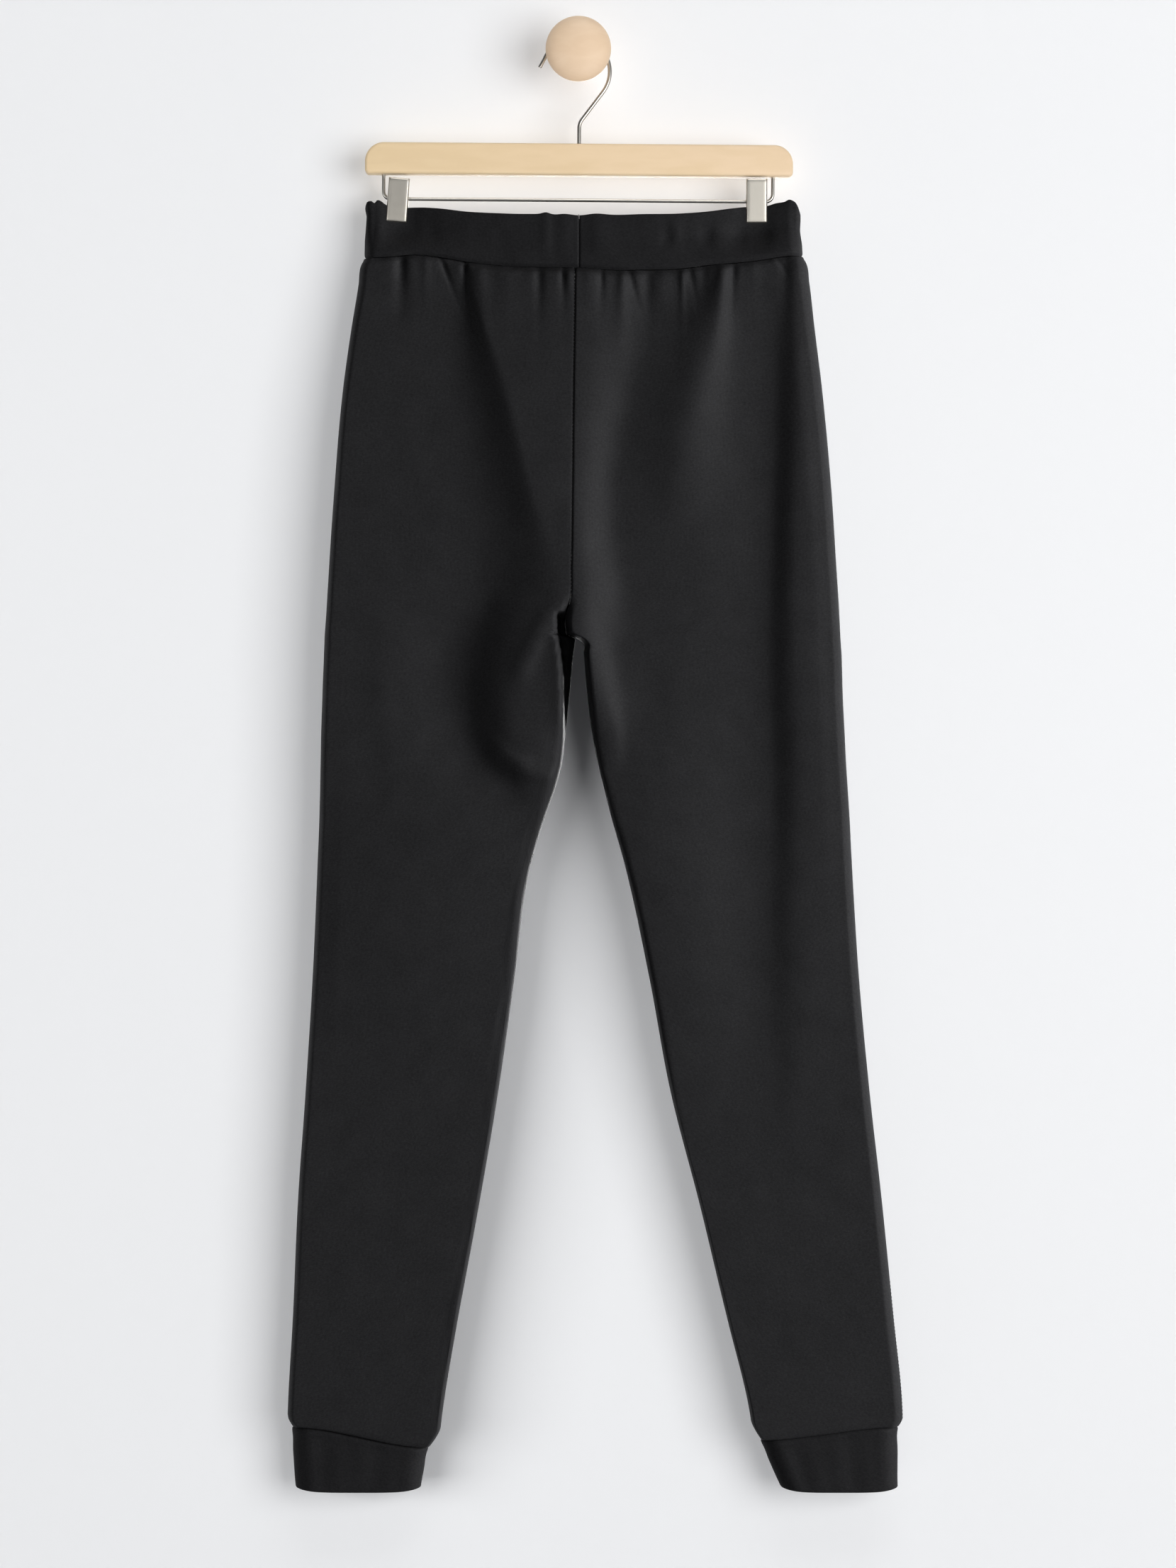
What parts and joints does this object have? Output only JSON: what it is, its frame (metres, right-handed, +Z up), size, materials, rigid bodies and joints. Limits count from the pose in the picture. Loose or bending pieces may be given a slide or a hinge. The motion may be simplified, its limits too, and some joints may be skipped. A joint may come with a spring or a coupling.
{
  "type": "sweatpants on a clip hanger and wall knob",
  "caption": "Slim black knit sweatpants with a wide waistband and fitted cuffs, seen from the back, clipped to a wooden hanger on a wall knob.",
  "frame": {"origin": "middle of the knob's flat back, which lies on the wall", "axes": "+Z up along the hanging garment; +Y into the wall, square to the knob's back; +X to the right of someone who faces the wall and sees the back of the garment"},
  "size_m": [0.4864, 0.0693, 1.1632],
  "materials": {
    "knit": "matt black heavy knit with a fine cross grain",
    "band_knit": "matt black doubled knit",
    "maple": "smooth pale wood, satin lacquer",
    "beech": "smooth turned wood",
    "steel": "satin nickel plate"
  },
  "bodies": {
    "root": {"back_left": "knit", "back_right": "knit", "front_left": "knit", "front_right": "knit", "waistband": "band_knit", "cuff_left": "band_knit", "cuff_right": "band_knit", "hanger_bar": "maple", "knob": "beech", "hook": "steel", "clip_rail": "steel", "clip_left_front": "steel", "clip_left_back": "steel", "clip_right_front": "steel", "clip_right_back": "steel"}
  },
  "joints": []
}
